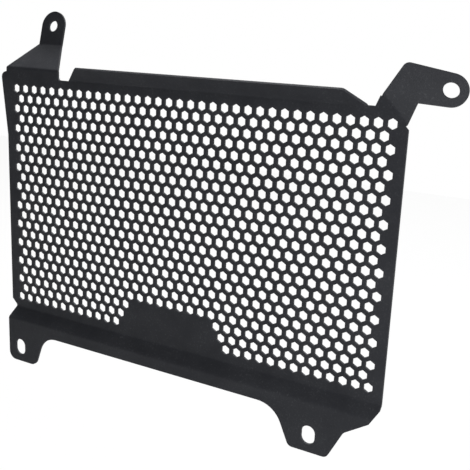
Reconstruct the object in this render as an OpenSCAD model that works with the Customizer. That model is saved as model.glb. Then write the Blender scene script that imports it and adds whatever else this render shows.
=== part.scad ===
// Motorcycle radiator guard: one perforated sheet, cut to its outline and folded.
// X runs across the guard, Y towards the radiator and Z up, in millimetres.
// The origin is the middle of the perforated panel, on its rear face.

/* [Sheet] */
// Thickness of the sheet
sheet_t = 1.5; // [1:0.1:2]
// Inside radius of every fold
bend_r = 1.5; // [1:0.1:2.5]

/* [Panel] */
// Width of the perforated panel
panel_w = 290; // [250:2:330]
// Height of the panel between its upper and lower fold lines
panel_h = 170; // [130:2:210]
// Cut off the lower left corner
corner_cut = 4.2; // [2:0.2:7]
// Swell of the left edge below the ear
swell = 5; // [2:0.5:8]
// Height of the swell's tip above the upper fold line
swell_rise = 1; // [0:0.2:1.6]
// Distance from the upper fold line down to the swell's lower end
swell_drop = 42; // [30:1:60]
// Corner radius of the swell's tip
swell_r = 4; // [2:0.5:6]

/* [Perforation] */
// Distance between neighbouring holes
hole_pitch = 8; // [7:0.5:12]
// Size of a hexagonal hole across its flats
hole_af = 5.5; // [3:0.1:6]
// Least distance from a hole's centre to a fold line or side edge
hole_margin = 8.5; // [7:0.5:14]
// Width of the bare patch along the lowest row of holes
patch_w = 76; // [40:2:120]
// Height of the bare patch above the lowest row of holes
patch_h = 17; // [8:1:40]
// Place of the patch's middle, from the middle of the panel
patch_x = -4; // [-30:1:30]

/* [Top lip] */
// Length of the lip from its fold line to its edge
lip_len = 11.5; // [7:0.5:16]
// Lean of the lip towards the front
lip_angle = 45; // [20:1:70]
// Distance from the lip's right end to the panel's right edge
lip_right_gap = 24; // [22:1:40]
// Lean of the lip's ends away from square
lip_end_lean = 45; // [10:1:55]
// Corner radius of the lip's ends
lip_r = 3; // [1:0.5:4]
// Width of the relief notch between the left ear and the lip
notch_w = 9.5; // [5:0.5:16]
// Depth of the relief notch below the fold line
notch_drop = 1; // [0.8:0.1:2]
// Corner radius of the relief notch
notch_r = 2; // [0.5:0.5:2.4]

/* [Left ear] */
// Width of the ear where it leaves the panel
left_ear_w = 47; // [36:1:60]
// Height of the ear's fold above the panel's upper fold line
left_ear_rise = 5; // [4:0.5:10]
// Length of the sloping part between its two fold lines
left_slope_len = 22.9; // [16:0.5:30]
// Lean of the sloping part towards the back
left_slope_angle = 45; // [20:1:60]
// Lean of the tab towards the back
left_tab_angle = 14; // [0:1:18]
// Width of the tab, which ends in a half circle
left_tab_w = 20.2; // [18:0.2:28]
// Distance from the panel's left edge to the middle of the tab
left_tab_x = 25.8; // [20:0.1:30]
// Distance from the tab's fold line to the hole's centre
left_hole_rise = 13.2; // [11:0.2:20]
// Diameter of the bolt hole in the tab
left_hole_d = 7.5; // [5:0.5:10]

/* [Right ear] */
// Distance from the upper fold line down to the foot of the diagonal fold
right_fold_drop = 9.2; // [5:0.2:14]
// Length of the diagonal fold line
right_fold_len = 22.5; // [19:0.5:24]
// Angle of the diagonal fold line below the horizontal
right_fold_slant = 45; // [40:1:50]
// Bend of the ear towards the back
right_ear_angle = 33; // [15:1:50]
// Step between the foot of the ear and the panel's edge
right_ear_step = 1; // [0.5:0.1:2]
// Lean of the ear's outer side away from square to the fold line
right_side_lean = 18.2; // [10:0.2:26]
// Distance from the fold line to the ear's shoulder
right_shoulder_rise = 20.5; // [16:0.5:26]
// Corner radius of the shoulder
right_shoulder_r = 4; // [2:0.5:7]
// Distance of the inner corner from the foot, along the fold line
right_nook_back = 7.2; // [5:0.2:10]
// Distance of the inner corner from the fold line
right_nook_rise = 11.6; // [8:0.2:14]
// Distance of the hole's centre from the foot, along the fold line
right_hole_back = 2.4; // [0:0.2:6]
// Distance of the hole's centre from the fold line
right_hole_rise = 29.7; // [27:0.2:36]
// Radius of the ear's round end, about the hole
right_end_r = 9.4; // [8:0.2:11]
// Diameter of the bolt hole in the ear
right_hole_d = 9; // [6:0.5:11]

/* [Lower flange] */
// Length of the ledge between the panel and the flange
ledge_len = 9.8; // [7:0.2:14]
// Lean of the ledge towards the front
ledge_angle = 45; // [20:1:60]
// Inset of the ledge and flange from the panel's left edge
flange_inset = 2.5; // [1:0.5:5]
// Depth of the flange between its tabs, from its fold line
flange_drop = 8.1; // [6.5:0.1:10]
// Depth of the two tabs, from the flange's fold line
tab_drop = 32.5; // [28:0.5:38]
// Width of the left tab along its lower edge
tab_left_w = 25.8; // [20:0.2:32]
// Spread of the left tab's inner side from its lower edge to its root
tab_left_spread = 8.6; // [4:0.2:14]
// Fillet at the root of the left tab
tab_left_fillet = 16; // [4:1:18]
// Distance from the right tab's middle to the panel's right edge
tab_right_gap = 41.4; // [36:0.2:60]
// Width of the right tab along its lower edge
tab_right_w = 25.2; // [20:0.2:32]
// Spread of the right tab's inner side from its lower edge to its root
tab_right_spread = 11.2; // [6:0.2:16]
// Spread of the right tab's outer side from its lower edge to the sloping edge
tab_outer_spread = 9.5; // [6:0.5:12]
// Fillet at the root of the right tab
tab_right_fillet = 18; // [8:1:24]
// Corner radius of the tabs on the outer left
tab_corner_r = 6; // [3:0.5:8]
// Corner radius of the right tab
tab_right_r = 4; // [2:0.5:6]
// Depth of the corner between the right tab and the sloping edge, from the fold line
outer_drop = 13.3; // [10:0.1:15]
// Depth of the flange's right end, from its fold line
end_drop = 3.4; // [2.4:0.1:5]
// Cut off the lower corner of the flange's right end
end_cut = 4.3; // [2:0.1:8]
// Corner radius at the lower end of that cut
end_r = 1; // [0.5:0.1:1.5]
// Height on the ledge, above the flange's fold line, at which that cut begins
end_rise = 3.9; // [2:0.1:6]

/* [Slots] */
// Width of the vertical slots in the tabs
slot_w = 9; // [6:0.5:10]
// Length of the vertical slots from end to end
slot_len = 12; // [10.5:0.5:14]
// Distance from the flange's fold line to the slots' centres
slot_drop = 21.3; // [18:0.1:24]
// Distance from the panel's left edge to the left slot's centre
slot_left_x = 13.6; // [11:0.1:18]

/* [Hidden] */
$fn = 72;
coat_black = [0.13, 0.13, 0.14];
hexagon = 6;
hexagon_turn = 30;
half_w = panel_w / 2;
half_h = panel_h / 2;
mid_y = -sheet_t / 2;

// Lap of each folded part over the panel it grows from, and reach of a prism that cuts it
lap = 3;
reach = 60;

// Excess of the tab's round end over half the tab's width, so that both meet at a clear angle
crown = 0.05;

// Rows and columns of the staggered holes, as many as the margin leaves room for
row_pitch = hole_pitch * cos(hexagon_turn);
half_rows = floor((half_h - hole_margin) / row_pitch);
half_cols = floor((half_w - hole_margin) / hole_pitch);
lowest_row_z = -half_rows * row_pitch;

// Places along the top edge
left_ear_x1 = left_ear_w - half_w;
left_tab_mid = left_tab_x - half_w;
lip_x0 = left_ear_x1 + notch_w;
lip_x1 = half_w - lip_right_gap;
notch_z = half_h - notch_drop;

// Ends of the diagonal fold line
foot = [half_w, half_h - right_fold_drop];
fold_head = foot + right_fold_len * [-cos(right_fold_slant), sin(right_fold_slant)];

// Ends of the ledge and flange
ledge_x0 = corner_cut - half_w;
flange_x0 = flange_inset - half_w;
tab_right_mid = half_w - tab_right_gap;

// Direction from one point to another, of length one
function towards(from, to) = (to - from) / norm(to - from);

// Direction that leans from the Z axis by an angle, in Y and Z
function leaning(angle) = [sin(angle), cos(angle)];

// Sign of the turn of a line at b on its way from a to c, positive to the left
function turn(a, b, c) = sign(cross(b - a, c - b));

// Point by a distance d past b, on the line that runs from a to b
function past(a, b, d) = b + d * towards(a, b);

// Sideways direction of a line from a to b, to its left
function leftward(a, b) = let (on = towards(a, b)) [-on[1], on[0]];

// A path's points moved sideways by d, with mitred corners
function beside(path, d) =
    let (last = len(path) - 1)
    [for (i = [0 : last])
        let (
            before = leftward(path[max(i, 1) - 1], path[max(i, 1)]),
            after = leftward(path[min(i, last - 1)], path[min(i, last - 1) + 1])
        )
        path[i] + d * (before + after) / (1 + before * after)];

// Radius of the sheet's face at a path's point, on its left where side is 1
function face_radius(path, i, side) =
    i == 0 || i == len(path) - 1 ? 0
        : bend_r + (turn(path[i - 1], path[i], path[i + 1]) * side < 0 ? sheet_t : 0);

// Point where a line from p touches a circle about c, on the left or right as seen from the circle
function touch(p, c, r, side) =
    let (facing = atan2(p[1] - c[1], p[0] - c[0]) + side * acos(r / norm(p - c)))
    c + r * [cos(facing), sin(facing)];

// True inside the bare patch, whose sides lean in as they rise
function in_patch(x, z) =
    z < lowest_row_z + patch_h
    && abs(x - patch_x) < patch_w / 2 - (z - lowest_row_z) * tan(hexagon_turn);

// A disc whose edge is drawn clockwise from its left, turned by the start angle
module disc(r, start = 0) {
    rotate(start) mirror([1, 0, 0]) circle(r = r);
}

// What lies between a corner b and the arc of radius r that rounds it, run on past the corner
module corner_piece(a, b, c, r) {
    out = towards(b, a);
    on = towards(b, c);
    half = acos(out * on) / 2;
    inward = towards([0, 0], out + on);
    centre = b + inward * r / sin(half);
    difference() {
        polygon([b + (b - centre) / 2, b + out * r / tan(half), centre, b + on * r / tan(half)]);
        translate(centre) disc(r, atan2(-inward[1], -inward[0]));
    }
}

// A closed outline, drawn anticlockwise, of corners [[x, y], radius] with true arcs
module outline(corners) {
    last = len(corners) - 1;
    points = [for (corner = corners) corner[0]];
    before = [for (i = [0 : last]) points[i == 0 ? last : i - 1]];
    after = [for (i = [0 : last]) points[i == last ? 0 : i + 1]];
    difference() {
        union() {
            polygon(points);
            for (i = [0 : last])
                if (corners[i][1] > 0 && turn(before[i], points[i], after[i]) < 0)
                    corner_piece(before[i], points[i], after[i], corners[i][1]);
        }
        for (i = [0 : last])
            if (corners[i][1] > 0 && turn(before[i], points[i], after[i]) > 0)
                corner_piece(before[i], points[i], after[i], corners[i][1]);
    }
}

// The sheet folded along X: its middle follows a path in Y and Z, from x0 to x1
module folded(path, x0, x1) {
    last = len(path) - 1;
    right = beside(path, -sheet_t / 2);
    left = beside(path, sheet_t / 2);
    translate([x0, 0, 0]) rotate([90, 0, 90]) linear_extrude(x1 - x0)
        outline(concat(
            [for (i = [0 : last]) [right[i], face_radius(path, i, -1)]],
            [for (i = [last : -1 : 0]) [left[i], face_radius(path, i, 1)]]
        ));
}

// A prism square to a flat of the sheet: the outline's Y runs up the flat from a point of its
// middle plane, and the flat leans back by the angle
module square_to(point, angle) {
    translate([0, point[0], point[1]]) rotate([90 - angle, 0, 0])
        translate([0, 0, -reach]) linear_extrude(2 * reach) children();
}

// Staggered hexagonal holes that stand on a corner, with the bare patch left out
module perforation() {
    for (row = [-half_rows : half_rows]) {
        short = (half_rows - row) % 2;
        for (col = [-half_cols : half_cols - short]) {
            x = (col + short / 2) * hole_pitch;
            z = row * row_pitch;
            if (!in_patch(x, z))
                translate([x, z]) rotate(hexagon_turn)
                    circle(d = hole_af / cos(hexagon_turn), $fn = hexagon);
        }
    }
}

// Flat perforated panel. It ends inside the laps of the folded parts.
module panel() {
    low = lap / 2 - half_h;
    high = half_h - lap / 2;
    ear_high = half_h + left_ear_rise / 2;
    fold_square = [sin(right_fold_slant), cos(right_fold_slant)];
    head = fold_head - fold_square * lap / 2;
    toe = foot - [0, lap / 2 / cos(right_fold_slant)];
    root_x = fold_head[0] - (fold_head[1] - half_h) * tan(right_fold_slant - right_side_lean);
    rotate([90, 0, 0]) linear_extrude(sheet_t) difference() {
        outline([
            [[ledge_x0, low], 0],
            [[half_w, low], 0],
            [toe, 0],
            [head, 0],
            [[root_x, half_h], 0],
            [[lip_x1, half_h], 0],
            [[lip_x1, high], 0],
            [[lip_x0 + lap, high], 0],
            [[lip_x0 + lap, notch_z], 0],
            [[left_ear_x1, notch_z], notch_r],
            [[left_ear_x1, ear_high], 0],
            [[-half_w, ear_high], 0],
            [[-half_w - swell, half_h + swell_rise], swell_r],
            [[-half_w, half_h - swell_drop], 0],
            [[-half_w, low + corner_cut], 0]
        ]);
        perforation();
    }
}

// Narrow lip along the top, leaning to the front, with slanted ends
module top_lip() {
    crease = [mid_y, half_h];
    slant = lip_len * tan(lip_end_lean);
    spread = lap * tan(lip_end_lean);
    intersection() {
        folded([
            crease - lap * leaning(0),
            crease,
            crease + (lip_len + lap) * leaning(-lip_angle)
        ], lip_x0, lip_x1);
        square_to(crease, -lip_angle) outline([
            [[lip_x0 - spread, -reach], 0],
            [[lip_x1 + spread, -reach], 0],
            [[lip_x1 + spread, -lap], 0],
            [[lip_x1 - slant, lip_len], lip_r],
            [[lip_x0 + slant, lip_len], lip_r],
            [[lip_x0 - spread, -lap], 0]
        ]);
    }
}

// Left ear: it slopes back from the panel and ends in a round tab with the bolt hole
module left_ear() {
    tab_x0 = left_tab_mid - left_tab_w / 2;
    tab_x1 = left_tab_mid + left_tab_w / 2;
    ridge = [mid_y, half_h + left_ear_rise];
    crease = ridge + left_slope_len * leaning(left_slope_angle);
    tip = crease + (left_hole_rise + left_tab_w) * leaning(left_tab_angle);
    hole = [left_tab_mid, left_hole_rise];
    root = [[-half_w, 0], [left_ear_x1, 0]];
    neck = [[tab_x0, left_slope_len], [tab_x1, left_slope_len]];
    low = [for (i = [0, 1]) past(neck[i], root[i], lap)];
    high = [for (i = [0, 1]) past(root[i], neck[i], lap / 2)];
    difference() {
        intersection() {
            folded([ridge - (left_ear_rise + lap) * leaning(0), ridge, crease, tip],
                -half_w, left_ear_x1);
            union() {
                square_to(ridge, left_slope_angle) polygon([
                    [low[0][0], -reach],
                    [low[1][0], -reach],
                    low[1],
                    high[1],
                    high[0],
                    low[0]
                ]);
                translate([tab_x0, -reach, ridge[1] + lap]) cube([left_tab_w, 2 * reach, reach]);
            }
            square_to(crease, left_tab_angle) {
                translate([-half_w - lap, -2 * reach]) square([half_w, 2 * reach + left_hole_rise]);
                translate(hole) disc(left_tab_w / 2 + crown);
            }
        }
        square_to(crease, left_tab_angle) translate(hole) disc(left_hole_d / 2);
    }
}

// Right ear: bent back about a diagonal fold line across the panel's corner
module right_ear() {
    crease = [mid_y, 0];
    tip = (right_hole_rise + 2 * right_end_r) * leaning(right_ear_angle);
    shoulder_x = -right_fold_len - right_shoulder_rise * tan(right_side_lean);
    shoulder = [shoulder_x, right_shoulder_rise];
    nook = [-right_nook_back, right_nook_rise];
    hole = [-right_hole_back, right_hole_rise];
    translate([foot[0], 0, foot[1]]) rotate([0, right_fold_slant, 0]) intersection() {
        folded([crease - lap * leaning(0), crease, crease + tip], 2 * shoulder_x, reach);
        square_to(crease, right_ear_angle) difference() {
            union() {
                outline([
                    [[-right_fold_len + lap / 2, -lap], 0],
                    [[-right_ear_step, -lap], 0],
                    [[-right_ear_step, 0], 0],
                    [nook, 0],
                    [touch(nook, hole, right_end_r, 1), 0],
                    [hole, 0],
                    [touch(shoulder, hole, right_end_r, -1), 0],
                    [shoulder, right_shoulder_r],
                    [[-right_fold_len, 0], 0]
                ]);
                translate(hole) disc(right_end_r);
            }
            translate(hole) disc(right_hole_d / 2);
        }
    }
}

// A slot through the flange with round ends about its centre
module slot(x, z) {
    half_run = (slot_len - slot_w) / 2;
    translate([x, z]) {
        square([slot_w, 2 * half_run], center = true);
        for (end = [-half_run, half_run]) translate([0, end]) disc(slot_w / 2);
    }
}

// Ledge to the front and hanging flange with two slotted tabs
module lower_flange() {
    crease = [mid_y, -half_h];
    edge = crease - ledge_len * leaning(ledge_angle);
    fold_z = edge[1];
    left_x1 = flange_x0 + tab_left_w;
    right_x0 = tab_right_mid - tab_right_w / 2;
    right_x1 = tab_right_mid + tab_right_w / 2;
    intersection() {
        folded([
            crease + lap * leaning(0),
            crease,
            edge,
            edge - (tab_drop + lap) * leaning(0)
        ], -half_w, half_w);
        square_to([0, 0], 0) difference() {
            outline([
                [[ledge_x0, lap - half_h], 0],
                [[ledge_x0, -half_h], 0],
                [[flange_x0, fold_z], 0],
                [[flange_x0, fold_z - tab_drop], tab_corner_r],
                [[left_x1, fold_z - tab_drop], tab_corner_r],
                [[left_x1 + tab_left_spread, fold_z - flange_drop], tab_left_fillet],
                [[right_x0 - tab_right_spread, fold_z - flange_drop], tab_right_fillet],
                [[right_x0, fold_z - tab_drop], tab_right_r],
                [[right_x1, fold_z - tab_drop], tab_right_r],
                [[right_x1 + tab_outer_spread, fold_z - outer_drop], tab_corner_r],
                [[half_w - end_cut, fold_z - end_drop], end_r],
                [[half_w, fold_z + end_rise], 0],
                [[half_w, lap - half_h], 0]
            ]);
            slot(slot_left_x - half_w, fold_z - slot_drop);
            slot(tab_right_mid, fold_z - slot_drop);
        }
    }
}

module guard_plate() {
    color(coat_black) {
        panel();
        top_lip();
        left_ear();
        right_ear();
        lower_flange();
    }
}

guard_plate();
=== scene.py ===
"""Looks of the radiator guard: black powder coat on the folded sheet, a pale studio and the camera."""

import math

import bmesh
import bpy
from mathutils import Matrix, Vector

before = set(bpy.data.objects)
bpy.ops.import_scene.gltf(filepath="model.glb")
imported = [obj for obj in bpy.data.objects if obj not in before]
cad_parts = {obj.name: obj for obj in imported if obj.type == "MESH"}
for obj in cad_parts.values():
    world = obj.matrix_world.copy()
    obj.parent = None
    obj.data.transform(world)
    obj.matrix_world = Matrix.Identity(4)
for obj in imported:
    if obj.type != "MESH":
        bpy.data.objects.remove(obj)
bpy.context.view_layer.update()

MM = 0.001


# ---------------------------------------------------------------- materials


def new_material(name):
    """An empty node material with its output node."""
    material = bpy.data.materials.new(name)
    material.use_nodes = True
    tree = material.node_tree
    tree.nodes.clear()
    return material, tree, tree.nodes.new("ShaderNodeOutputMaterial")


def add_node(tree, kind, inputs=(), **settings):
    """A node with its settings and the values of its sockets."""
    node = tree.nodes.new(kind)
    for key, value in settings.items():
        setattr(node, key, value)
    for key, value in dict(inputs).items():
        node.inputs[key].default_value = value
    return node


def noise(tree, where, per_metre, detail, rough=0.5):
    """Noise with a number of blots per metre, on the sheet's own coordinates."""
    sizes = {"Scale": per_metre, "Detail": detail, "Roughness": rough}
    node = add_node(tree, "ShaderNodeTexNoise", sizes)
    tree.links.new(where.outputs["Object"], node.inputs["Vector"])
    return node.outputs["Fac"]


def remap(tree, value, low, high, to_low, to_high):
    """A value spread from one range to another, held at its ends."""
    sizes = {"From Min": low, "From Max": high, "To Min": to_low, "To Max": to_high}
    node = add_node(tree, "ShaderNodeMapRange", sizes, clamp=True)
    tree.links.new(value, node.inputs["Value"])
    return node.outputs["Result"]


def blend_colours(tree, share, first, second):
    """A colour between two others, by a share."""
    node = add_node(tree, "ShaderNodeMix", data_type="RGBA")
    tree.links.new(share, node.inputs["Factor"])
    for socket, colour in ((node.inputs["A"], first), (node.inputs["B"], second)):
        if isinstance(colour, tuple):
            socket.default_value = (*colour, 1)
        else:
            tree.links.new(colour, socket)
    return node.outputs["Result"]


def multiply(tree, first, second):
    """Two values multiplied."""
    node = add_node(tree, "ShaderNodeMath", operation="MULTIPLY")
    tree.links.new(first, node.inputs[0])
    tree.links.new(second, node.inputs[1])
    return node.outputs[0]


# Colours of the coat, from its darkest blots to the dust on its grain and its edges, which are paler
# partly as rubbed wear and partly as a painted highlight where light catches them.
COAT_DARK = (0.0245, 0.0256, 0.0298)
COAT_LIGHT = (0.0335, 0.035, 0.0398)
COAT_WORN_AND_EDGE_HIGHLIGHT = (0.085, 0.086, 0.09)
COAT_DUSTY = (0.078, 0.08, 0.085)

COAT_SHEEN = 0.1
ROUGHNESS_RANGE = (0.46, 0.58)
EDGE_RADIUS = 0.45 * MM
EDGE_SAMPLES = 6

# Sizes of the coat's patterns, in blots or grains per metre.
BLOTS_PER_METRE = 38
GRAINS_PER_METRE = 820
FINE_GRAINS_PER_METRE = 2600
RUBS_PER_METRE = 240
SHEEN_PATCHES_PER_METRE = 70

# Height and share of the two bumps that make the grain.
COARSE_BUMP = {"Strength": 0.6, "Distance": 0.12 * MM}
FINE_BUMP = {"Strength": 0.3, "Distance": 0.02 * MM}


def powder_coat():
    """Fine-grained black powder coat, a little paler along its edges: partly rubbed wear, partly a
    painted highlight.
    """
    material, tree, output = new_material("black_powder_coat_textured")
    links = tree.links
    where = add_node(tree, "ShaderNodeTexCoord")
    shader = add_node(tree, "ShaderNodeBsdfPrincipled", {"Specular IOR Level": COAT_SHEEN})

    blots = remap(tree, noise(tree, where, BLOTS_PER_METRE, 4, 0.6), 0.3, 0.7, 0, 1)
    grain = noise(tree, where, GRAINS_PER_METRE, 3, 0.6)
    fine = noise(tree, where, FINE_GRAINS_PER_METRE, 2)
    coat = blend_colours(tree, blots, COAT_DARK, COAT_LIGHT)
    specks = remap(tree, grain, 0.56, 0.74, 0, 1)
    dust = multiply(tree, specks, remap(tree, blots, 0.2, 1, 0.15, 0.7))
    coat = blend_colours(tree, dust, coat, COAT_DUSTY)

    # The edges are painted paler from the bevel mask: partly rubbed wear, partly a painted highlight
    # standing in for light caught on the rounded edges.
    rounded = add_node(tree, "ShaderNodeBevel", {"Radius": EDGE_RADIUS}, samples=EDGE_SAMPLES)
    flat = add_node(tree, "ShaderNodeNewGeometry")
    turned = add_node(tree, "ShaderNodeVectorMath", operation="DOT_PRODUCT")
    links.new(rounded.outputs["Normal"], turned.inputs[0])
    links.new(flat.outputs["Normal"], turned.inputs[1])
    edge = remap(tree, turned.outputs["Value"], 0.98, 0.8, 0, 1)
    rubs = noise(tree, where, RUBS_PER_METRE, 4, 0.65)
    rubbed_and_highlit = multiply(tree, edge, remap(tree, rubs, 0.38, 0.66, 0.1, 0.8))
    coat = blend_colours(tree, rubbed_and_highlit, coat, COAT_WORN_AND_EDGE_HIGHLIGHT)
    links.new(coat, shader.inputs["Base Color"])

    patches = noise(tree, where, SHEEN_PATCHES_PER_METRE, 3)
    roughness = remap(tree, patches, 0.3, 0.7, *ROUGHNESS_RANGE)
    links.new(roughness, shader.inputs["Roughness"])

    coarse_bump = add_node(tree, "ShaderNodeBump", COARSE_BUMP)
    links.new(rounded.outputs["Normal"], coarse_bump.inputs["Normal"])
    links.new(grain, coarse_bump.inputs["Height"])
    fine_bump = add_node(tree, "ShaderNodeBump", FINE_BUMP)
    links.new(coarse_bump.outputs["Normal"], fine_bump.inputs["Normal"])
    links.new(fine, fine_bump.inputs["Height"])
    links.new(fine_bump.outputs["Normal"], shader.inputs["Normal"])
    links.new(shader.outputs["BSDF"], output.inputs["Surface"])
    return material


WHITE = (1, 1, 1, 1)
PAPER = (0.6, 0.6, 0.6, 1)
FLOOR_SHOWN = 0.94
BACKDROP_SHOWN = 1.0


def studio_white(name, shown):
    """Pale matt paper that the camera, gloss and glass see as white, by the shown share."""
    material, tree, output = new_material(name)
    links = tree.links
    paper = add_node(tree, "ShaderNodeBsdfDiffuse", {"Color": PAPER})
    glow = add_node(tree, "ShaderNodeEmission", {"Color": WHITE, "Strength": 1})
    path = add_node(tree, "ShaderNodeLightPath")
    seen = path.outputs["Is Camera Ray"]
    for ray in ("Is Glossy Ray", "Is Transmission Ray"):
        either = add_node(tree, "ShaderNodeMath", operation="MAXIMUM")
        links.new(seen, either.inputs[0])
        links.new(path.outputs[ray], either.inputs[1])
        seen = either.outputs[0]
    share = add_node(tree, "ShaderNodeMath", {1: shown}, operation="MULTIPLY")
    links.new(seen, share.inputs[0])
    mixed = add_node(tree, "ShaderNodeMixShader")
    links.new(share.outputs[0], mixed.inputs["Fac"])
    links.new(paper.outputs["BSDF"], mixed.inputs[1])
    links.new(glow.outputs["Emission"], mixed.inputs[2])
    links.new(mixed.outputs["Shader"], output.inputs["Surface"])
    return material


# ------------------------------------------------------------------- studio

FLOOR_Z = -0.26
STAGE_HALF = 3.0
BACKDROP_Y = 1.6


def flat_sheet(name, corners, material):
    """One flat four-sided piece of the stage."""
    shape = bmesh.new()
    shape.faces.new([shape.verts.new(corner) for corner in corners])
    mesh = bpy.data.meshes.new(name)
    shape.to_mesh(mesh)
    shape.free()
    mesh.materials.append(material)
    piece = bpy.data.objects.new(name, mesh)
    bpy.context.scene.collection.objects.link(piece)
    return piece


def build_stage():
    """A floor below the hung guard and a backdrop behind it."""
    left, right = -STAGE_HALF, STAGE_HALF
    near, far = -STAGE_HALF, BACKDROP_Y
    floor = [(left, near, FLOOR_Z), (right, near, FLOOR_Z), (right, far, FLOOR_Z), (left, far, FLOOR_Z)]
    top = FLOOR_Z + STAGE_HALF
    wall = [(left, far, FLOOR_Z), (right, far, FLOOR_Z), (right, far, top), (left, far, top)]
    flat_sheet("floor", floor, studio_white("floor_white", FLOOR_SHOWN))
    flat_sheet("backdrop", wall, studio_white("backdrop_white", BACKDROP_SHOWN))


def add_softbox(name, place, target, width, height, watts):
    """A rectangular soft light that faces a point."""
    light = bpy.data.lights.new(name, "AREA")
    light.shape = "RECTANGLE"
    light.size = width
    light.size_y = height
    light.energy = watts
    lamp = bpy.data.objects.new(name, light)
    lamp.location = place
    lamp.rotation_euler = (Vector(target) - Vector(place)).to_track_quat("-Z", "Y").to_euler()
    bpy.context.scene.collection.objects.link(lamp)


ROOM_GREY = 0.02
GUARD_MIDDLE = (0, 0, 0)

# Name, place, point it faces, width, height and watts of each soft light.
SOFTBOXES = (
    ("light_above", (-0.25, 0.55, 1.25), GUARD_MIDDLE, 1.3, 0.9, 47),
    ("light_right", (1.1, -0.6, 0.8), (0.05, 0, 0), 0.7, 0.6, 13),
    ("light_beside", (0.36, -0.26, -0.02), (0.17, 0, 0), 0.12, 0.12, 0.55),
)


def build_lights():
    """A broad light above and behind the guard, one high on the right, a small one beside its end."""
    for softbox in SOFTBOXES:
        add_softbox(*softbox)
    world = bpy.data.worlds.new("studio")
    bpy.context.scene.world = world
    world.use_nodes = True
    tree = world.node_tree
    tree.nodes.clear()
    output = add_node(tree, "ShaderNodeOutputWorld")
    room = add_node(tree, "ShaderNodeBackground", {"Color": WHITE, "Strength": ROOM_GREY})
    white = add_node(tree, "ShaderNodeBackground", {"Color": WHITE, "Strength": 1})
    path = add_node(tree, "ShaderNodeLightPath")
    mixed = add_node(tree, "ShaderNodeMixShader")
    tree.links.new(path.outputs["Is Camera Ray"], mixed.inputs["Fac"])
    tree.links.new(room.outputs[0], mixed.inputs[1])
    tree.links.new(white.outputs[0], mixed.inputs[2])
    tree.links.new(mixed.outputs[0], output.inputs["Surface"])


# ------------------------------------------------------------------- camera

# Solved from the mesh openings and the outline in the photo: metres, degrees and pixels.
CAMERA_PLACE = (0.26864, -0.40507, 0.11776)
CAMERA_AZIMUTH = 29.17
CAMERA_ELEVATION = 14.28
CAMERA_ROLL = -2.57
SENSOR_MM = 36
FOCAL_PIXELS = 779.9
IMAGE_PIXELS = 470


def build_camera():
    """The camera to the right of the guard's middle and a little above it, as in the photo."""
    azimuth, elevation, roll = (math.radians(a) for a in (CAMERA_AZIMUTH, CAMERA_ELEVATION, CAMERA_ROLL))
    back = Vector((
        math.sin(azimuth) * math.cos(elevation),
        -math.cos(azimuth) * math.cos(elevation),
        math.sin(elevation),
    ))
    level_right = (-back).cross(Vector((0, 0, 1))).normalized()
    level_down = (-back).cross(level_right)
    right = level_right * math.cos(roll) + level_down * math.sin(roll)
    up = level_right * math.sin(roll) - level_down * math.cos(roll)
    turn = Matrix((right, up, back)).transposed().to_4x4()
    lens = bpy.data.cameras.new("camera")
    lens.sensor_width = SENSOR_MM
    lens.lens = SENSOR_MM * FOCAL_PIXELS / IMAGE_PIXELS
    lens.clip_start = 0.01
    camera = bpy.data.objects.new("camera", lens)
    camera.matrix_world = Matrix.Translation(CAMERA_PLACE) @ turn
    bpy.context.scene.collection.objects.link(camera)
    bpy.context.scene.camera = camera


# -------------------------------------------------------------------- scene

coat = powder_coat()
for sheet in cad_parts.values():
    for slot in sheet.material_slots:
        slot.material = coat

build_stage()
build_lights()
build_camera()
bpy.context.scene.view_settings.view_transform = "Standard"
